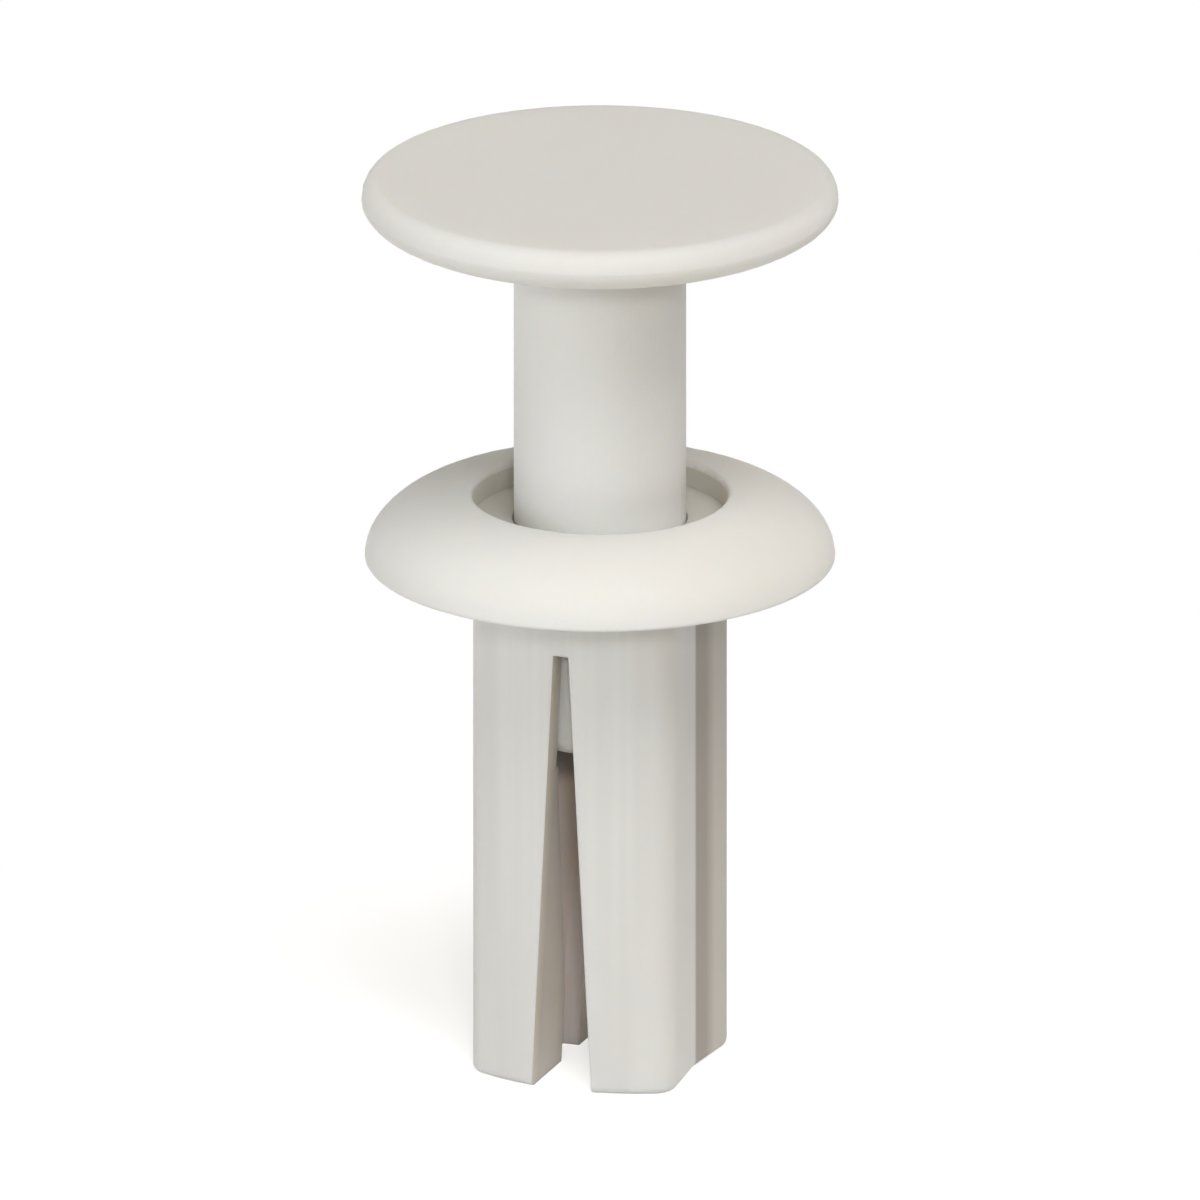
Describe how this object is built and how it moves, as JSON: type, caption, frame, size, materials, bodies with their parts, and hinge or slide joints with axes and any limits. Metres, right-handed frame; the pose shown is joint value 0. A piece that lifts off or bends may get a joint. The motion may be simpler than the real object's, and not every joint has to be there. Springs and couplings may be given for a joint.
{
  "type": "push rivet",
  "caption": "Plastic push rivet for panels: a flat round head on a plain pin, raised out of a domed collar above a lobed barrel split into legs by tapering slots.",
  "frame": {"origin": "centre of the collar's underside, the face that seats on the panel", "axes": "+Z along the pin towards its head; the slots face -Y and +Y, the shallow valleys face -X and +X"},
  "size_m": [0.0074, 0.0074, 0.0145],
  "materials": {
    "pin": "satin",
    "grommet": "satin"
  },
  "bodies": {
    "grommet": {"grommet": "grommet"},
    "pin": {"pin": "pin"}
  },
  "joints": [
    {"name": "pin_push", "type": "slide", "parent": "grommet", "child": "pin", "axis": [0, 0, 1], "range_m": [-0.00438, 0], "deforming": ["grommet"]}
  ]
}
